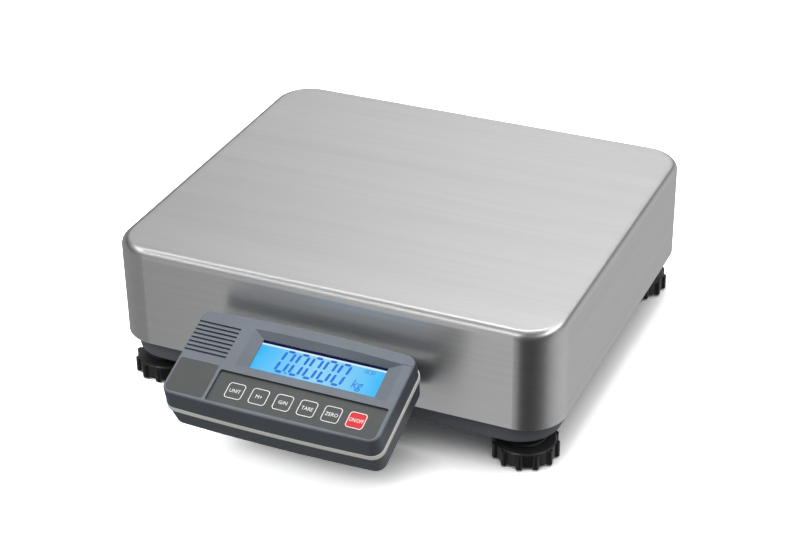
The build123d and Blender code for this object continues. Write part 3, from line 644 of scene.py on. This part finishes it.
diffuserSetup = {"dark": (0.35, 0.75, 1.0), "light": (0.5, 0.85, 1.0), "patchScale": 30.0}


def backLight(name, setup):
    # frosted diffuser behind the glass
    material, tree, shader, vector = startMaterial(name, 0.6)
    patchy = noiseStep(tree, vector, setup["patchScale"])
    frosted = mixColours(tree, patchy, setup["dark"], setup["light"])
    tree.links.new(frosted, shader.inputs["Base Color"])
    return material


materials = {
    "pan_steel": brushedSteel("pan_steel_brushed", steelSetup),
    "base_paint": moulded(
        "base_paint_powder", (0.185, 0.196, 0.220), wornAndHighlit=(0.30, 0.31, 0.33),
        roughness=0.52, grain=1400, depth=0.00003,
    ),
    "head_plastic": moulded(
        "head_plastic_grained", (0.112, 0.131, 0.156), wornAndHighlit=(0.26, 0.29, 0.33),
        roughness=0.46, grain=2200, depth=0.000025,
    ),
    # the pale trim strip gets a faint glow of its own: painted light that lifts it out of the shade it sits in
    "trim_plastic": moulded(
        "trim_plastic_grained_painted_glow", (0.86, 0.85, 0.80), wornAndHighlit=(0.6, 0.6, 0.58),
        roughness=0.45, grain=2200, depth=0.00002,
        Emission_Color=(0.9, 0.88, 0.82, 1), Emission_Strength=0.14,
    ),
    "window_acrylic": clearPlastic("window_acrylic_clear", (0.97, 0.98, 0.99), roughness=0.0, bend=1.06),
    "lcd_glass": liquidCrystal("lcd_glass_blue", crystalSetup),
    "lcd_backlight": backLight("lcd_backlight_diffuser", diffuserSetup),
    "key_film": moulded(
        "key_film_matt", (0.050, 0.055, 0.056), wornAndHighlit=(0.12, 0.125, 0.125),
        roughness=0.5, grain=3000, depth=0.00001, wearAndHighlight=0.15,
    ),
    "red_key": moulded(
        "red_key_film", (0.54, 0.003, 0.008), wornAndHighlit=(0.6, 0.03, 0.03),
        roughness=0.55, grain=3000, depth=0.00001, wearAndHighlight=0.1,
    ),
    "foot_plastic": moulded(
        "foot_plastic_black", (0.022, 0.022, 0.024), wornAndHighlit=(0.09, 0.09, 0.092),
        roughness=0.30, grain=1800, depth=0.00002,
    ),
    "sole_rubber": moulded(
        "sole_rubber_black", (0.016, 0.016, 0.017), wornAndHighlit=(0.05, 0.05, 0.05),
        roughness=0.7, grain=900, depth=0.00005,
    ),
    "buffer_rubber": moulded(
        "buffer_rubber_black", (0.02, 0.02, 0.02), wornAndHighlit=(0.05, 0.05, 0.05),
        roughness=0.75, grain=900, depth=0.00005,
    ),
    "fastener_steel": bareMetal(
        "fastener_steel_plated", dark=(0.50, 0.50, 0.50), light=(0.72, 0.72, 0.71),
        roughness=0.3, grain=1500, depth=0.00001,
    ),
    "bracket_paint": moulded(
        "bracket_paint_powder", (0.042, 0.047, 0.056), wornAndHighlit=(0.25, 0.25, 0.26),
        roughness=0.5, grain=1400, depth=0.00003,
    ),
    "cast_aluminium": bareMetal(
        "cast_aluminium_rough", dark=(0.42, 0.42, 0.42), light=(0.60, 0.60, 0.60),
        roughness=0.5, grain=600, depth=0.00012,
    ),
    "machined_aluminium": bareMetal(
        "machined_aluminium_milled", dark=(0.62, 0.62, 0.62), light=(0.78, 0.78, 0.78),
        roughness=0.3, grain=1200, depth=0.00002,
    ),
    "inner_plastic": moulded(
        "inner_plastic_black", (0.025, 0.026, 0.028), wornAndHighlit=(0.08, 0.08, 0.08),
        roughness=0.5, grain=1800, depth=0.00003,
    ),
    "board_laminate": circuitBoard("board_laminate_green", boardSetup),
    "battery_case": moulded(
        "battery_case_grey", (0.10, 0.10, 0.105), wornAndHighlit=(0.2, 0.2, 0.2),
        roughness=0.5, grain=1500, depth=0.00003,
    ),
    "level_glass": clearPlastic("level_glass_tinted", (0.75, 0.95, 0.35), roughness=0.02),
}


def dressNodes():
    for part in frame["record"]["subparts"]:
        node = cadNodes[part["node"]]
        node.data.materials.clear()
        node.data.materials.append(materials[part["material_slot"]])


dressNodes()
print("materials on every node:", len(materials))


def onlySelect(piece):
    bpy.ops.object.select_all(action="DESELECT")
    piece.select_set(True)
    bpy.context.view_layer.objects.active = piece


def settle(piece):
    # puts an object's turn, place and size into its mesh
    onlySelect(piece)
    bpy.ops.object.transform_apply(location=True, rotation=True, scale=True)


def headPlace(across, climb, level):
    # a point given in the head's own axes
    return headAxes @ Vector((across, climb, level))


def layOnHead(piece, across, climb, level):
    # a flat piece drawn about its own origin is laid on the head's face
    piece.matrix_world = Matrix.Translation(headPlace(across, climb, level)) @ headAxes.to_4x4()
    settle(piece)


def finishPiece(piece, name, body, material):
    piece.name = name
    piece.data.name = name
    piece.data.materials.clear()
    piece.data.materials.append(material)
    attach(piece, body)


def joinAll(parts):
    bpy.ops.object.select_all(action="DESELECT")
    for part in parts:
        part.select_set(True)
    bpy.context.view_layer.objects.active = parts[0]
    bpy.ops.object.join()
    return parts[0]


printSetup = {"grain": 2600.0, "faded": 0.88, "roughness": (0.38, 0.52), "depth": 0.000004}


def inkMaterial(name, colour, glow=0.0):
    # a very thin raised layer, a little uneven like screen print
    material, tree, shader, vector = startMaterial(name)
    texture = placeGroup(tree, "mouldGrain", vector, Scale=printSetup["grain"])
    faded = tuple(c * printSetup["faded"] for c in colour)
    body = mixColours(tree, texture["Mottle"], faded, colour)
    tree.links.new(body, shader.inputs["Base Color"])
    gloss = spread(tree, texture["Mottle"], *printSetup["roughness"])
    tree.links.new(gloss, shader.inputs["Roughness"])
    addBump(tree, shader, texture["Height"], printSetup["depth"])
    if glow:
        tree.links.new(body, shader.inputs["Emission Color"])
        shader.inputs["Emission Strength"].default_value = glow
    return material


whiteInk = inkMaterial("white_print", (0.80, 0.80, 0.78))
figureInk = inkMaterial("segment_ink", (0.006, 0.135, 0.56), glow=0.84)

inkSetup = {
    "thickness": 0.00006,
    "outlineInset": 0.0001,
    "outlineWidth": 0.00052,
    "cornerRadius": 0.0024,
    "cornerSteps": 5,
    "legendHeight": 0.0031,
    "legendSqueeze": 0.92,
    "legends": {
        "unit": ("UNIT", 0.95), "memory": ("M+", 1.0), "gross_net": ("G/N", 1.0),
        "tare": ("TARE", 0.95), "zero": ("ZERO", 0.95), "on_off": ("ON/OFF", 0.74),
    },
}


def flatPlate(width, height, corner, steps):
    # a rounded rectangle face about the origin, from a plane with bevelled corners
    bpy.ops.object.select_all(action="DESELECT")
    bpy.ops.mesh.primitive_plane_add(size=1)
    plate = bpy.context.object
    plate.scale = (width, height, 1)
    settle(plate)
    bpy.ops.object.mode_set(mode="EDIT")
    bpy.ops.mesh.select_all(action="SELECT")
    bpy.ops.mesh.bevel(offset=corner, offset_type="OFFSET", segments=steps, affect="VERTICES")
    bpy.ops.object.mode_set(mode="OBJECT")
    return plate


def roundedFrame(width, height, corner, band, setup):
    # inset the plate's face, drop the middle and give the ring its thickness
    ring = flatPlate(width, height, corner, setup["cornerSteps"])
    bpy.ops.object.mode_set(mode="EDIT")
    bpy.ops.mesh.select_all(action="SELECT")
    bpy.ops.mesh.inset(thickness=band, use_boundary=True)
    bpy.ops.object.mode_set(mode="OBJECT")
    middleFace = min(ring.data.polygons, key=lambda f: f.center.length)
    for face in ring.data.polygons:
        face.select = face.index == middleFace.index
    bpy.ops.object.mode_set(mode="EDIT")
    bpy.ops.mesh.select_mode(type="FACE")
    bpy.ops.mesh.delete(type="FACE")
    bpy.ops.object.mode_set(mode="OBJECT")
    thicken(ring, setup["thickness"])
    return ring


def thicken(piece, depth):
    onlySelect(piece)
    bpy.ops.object.modifier_add(type="SOLIDIFY")
    piece.modifiers[-1].thickness = depth
    piece.modifiers[-1].offset = 1
    bpy.ops.object.modifier_apply(modifier=piece.modifiers[-1].name)


letterSetup = {"sizeOfHeight": 1.38, "resolution": 3, "weld": 0.000005}


def lettering(words, height, depth, squeeze):
    bpy.ops.object.select_all(action="DESELECT")
    bpy.ops.object.text_add()
    text = bpy.context.object
    text.data.body = words
    text.data.size = height * letterSetup["sizeOfHeight"]
    text.data.align_x = "CENTER"
    text.data.align_y = "CENTER"
    text.data.resolution_u = letterSetup["resolution"]
    text.data.extrude = depth / 2
    text.scale = (squeeze, 1, 1)
    onlySelect(text)
    bpy.ops.object.convert(target="MESH")
    mesh = bpy.context.object
    bpy.ops.object.transform_apply(location=True, rotation=True, scale=True)
    bpy.ops.object.mode_set(mode="EDIT")
    bpy.ops.mesh.select_all(action="SELECT")
    bpy.ops.mesh.remove_doubles(threshold=letterSetup["weld"])
    bpy.ops.mesh.normals_make_consistent(inside=False)
    bpy.ops.object.mode_set(mode="OBJECT")
    centre = sum((Vector(c) for c in mesh.bound_box), Vector()) / 8
    mesh.location = (-centre.x, -centre.y, 0)
    settle(mesh)
    return mesh


def printKeys(setup):
    for key in keyNames:
        low, high = headBox("key_" + key)
        across, climb = (low.x + high.x) / 2, (low.y + high.y) / 2
        width, height = high.x - low.x, high.y - low.y
        words, squeeze = setup["legends"][key]
        frameRing = roundedFrame(
            width - 2 * setup["outlineInset"], height - 2 * setup["outlineInset"],
            setup["cornerRadius"], setup["outlineWidth"], setup,
        )
        word = lettering(words, setup["legendHeight"], setup["thickness"], squeeze * setup["legendSqueeze"])
        layOnHead(frameRing, across, climb, high.z)
        layOnHead(word, across, climb, high.z + setup["thickness"] / 2)
        finishPiece(frameRing, "key_outline_" + key, "key_" + key, whiteInk)
        finishPiece(word, "key_legend_" + key, "key_" + key, whiteInk)


printKeys(inkSetup)
print("key outlines and legends printed")


figureSetup = {
    "firstCentre": -0.0108,  # across the head
    "pitch": 0.0108,
    "count": 5,
    "width": 0.0086,
    "height": 0.0202,
    "middle": -0.0280,       # below the head's back edge, along the slope
    "stroke": 0.0020,
    "gap": 0.00028,
    "endGap": 0.25,          # more gap where strokes meet, as a share of the stroke
    "pointed": 0.42,         # each stroke's ends, as a share of its width
    "slant": 9.0,
    "thickness": 0.00012,
    "lift": 0.00006,
    "point": 0.0013,
    "pointCorner": 0.25,     # as a share of the point's size
    "pointSteps": 2,
    "unitPlace": (0.0470, -0.0338),
    "unitHeight": 0.0074,
    "unitSqueeze": 0.9,
    "iconPlace": (0.0515, -0.0206),
    "iconSize": (0.0084, 0.0031),
    "iconLine": 0.0003,
    "iconCorner": 0.48,      # as a share of the oval's height
    "dashPlace": 0.2,        # as a share of the oval's width
    "dash": 0.0009,          # half the length of each dash in the oval, and its width
}


def strokePlate(start, end, stroke):
    # one segment: a plane drawn out to a bar and bevelled to points at both ends
    bpy.ops.object.select_all(action="DESELECT")
    bpy.ops.mesh.primitive_plane_add(size=1)
    bar = bpy.context.object
    run = Vector(end) - Vector(start)
    bar.scale = (run.length, stroke, 1)
    settle(bar)
    bpy.ops.object.mode_set(mode="EDIT")
    bpy.ops.mesh.select_all(action="SELECT")
    point = stroke * figureSetup["pointed"]
    bpy.ops.mesh.bevel(offset=point, offset_type="OFFSET", segments=1, affect="VERTICES")
    bpy.ops.object.mode_set(mode="OBJECT")
    bar.rotation_euler = (0, 0, math.atan2(run.y, run.x))
    bar.location = (*((Vector(start) + Vector(end)) / 2), 0)
    settle(bar)
    return bar


def slantPiece(piece, slant):
    lean = math.tan(math.radians(slant))
    for vertex in piece.data.vertices:
        vertex.co.x += vertex.co.y * lean


def makeFigures(setup):
    glassTop = headBox("lcd_glass")[1].z
    backEdge = headBox("head_upper_shell")[1].y
    half, tall = setup["width"] / 2 - setup["stroke"] / 2, setup["height"] / 2 - setup["stroke"] / 2
    gap = setup["gap"] + setup["stroke"] * setup["endGap"]
    spots = []
    for step in range(setup["count"]):
        x = setup["firstCentre"] + step * setup["pitch"]
        spots += [
            ((x - half + gap, tall), (x + half - gap, tall)),
            ((x - half + gap, -tall), (x + half - gap, -tall)),
        ]
        for side in (x - half, x + half):
            spots += [((side, gap), (side, tall - gap)), ((side, -tall + gap), (side, -gap))]
    bars = [strokePlate(start, end, setup["stroke"]) for start, end in spots]
    pointPlace = setup["firstCentre"] + setup["pitch"] / 2
    corner = setup["point"] * setup["pointCorner"]
    point = flatPlate(setup["point"], setup["point"], corner, setup["pointSteps"])
    point.location = (pointPlace, -tall, 0)
    settle(point)
    figures = joinAll(bars + [point])
    slantPiece(figures, setup["slant"])
    thicken(figures, setup["thickness"])
    level = glassTop + setup["lift"]
    layOnHead(figures, 0, backEdge + setup["middle"], level)
    finishPiece(figures, "display_figures", "base", figureInk)
    unit = lettering("kg", setup["unitHeight"], setup["thickness"], setup["unitSqueeze"])
    slantPiece(unit, setup["slant"])
    layOnHead(unit, setup["unitPlace"][0], backEdge + setup["unitPlace"][1], level + setup["thickness"] / 2)
    finishPiece(unit, "display_unit", "base", figureInk)
    width, height = setup["iconSize"]
    inked = {**inkSetup, "thickness": setup["thickness"]}
    oval = roundedFrame(width, height, height * setup["iconCorner"], setup["iconLine"], inked)
    reach, dashes = setup["dash"], []
    for centre in (-width * setup["dashPlace"], width * setup["dashPlace"]):
        dash = strokePlate((centre - reach, 0), (centre + reach, 0), reach)
        thicken(dash, setup["thickness"])
        dashes.append(dash)
    icon = joinAll([oval] + dashes)
    layOnHead(icon, setup["iconPlace"][0], backEdge + setup["iconPlace"][1], level)
    finishPiece(icon, "display_icon", "base", figureInk)


makeFigures(figureSetup)
print("display figures drawn")
